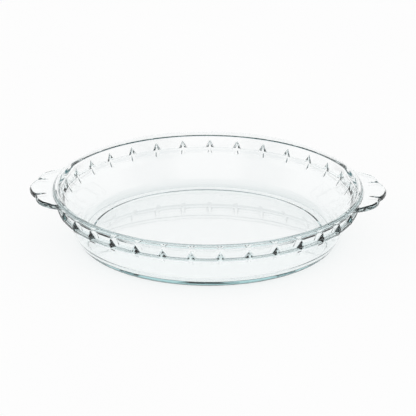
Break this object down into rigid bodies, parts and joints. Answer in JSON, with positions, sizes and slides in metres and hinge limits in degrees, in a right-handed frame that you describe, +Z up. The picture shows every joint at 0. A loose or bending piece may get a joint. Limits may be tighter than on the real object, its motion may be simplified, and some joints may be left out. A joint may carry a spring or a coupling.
{
  "type": "pie dish",
  "caption": "Round clear glass pie dish with flared sides, a rolled rim, a diamond-studded band and two flat scalloped handles.",
  "frame": {"origin": "on the table, at the middle of the foot ring", "axes": "+Z up, +X along the line through both handles, +Y to the side opposite the viewer of the picture"},
  "size_m": [0.2704, 0.235, 0.041],
  "materials": {
    "clear_glass": "smooth fire-polished pressed glass, colourless with a faint green-blue cast where it is seen edge on"
  },
  "bodies": {
    "root": {"pie_dish": "clear_glass"}
  },
  "joints": []
}
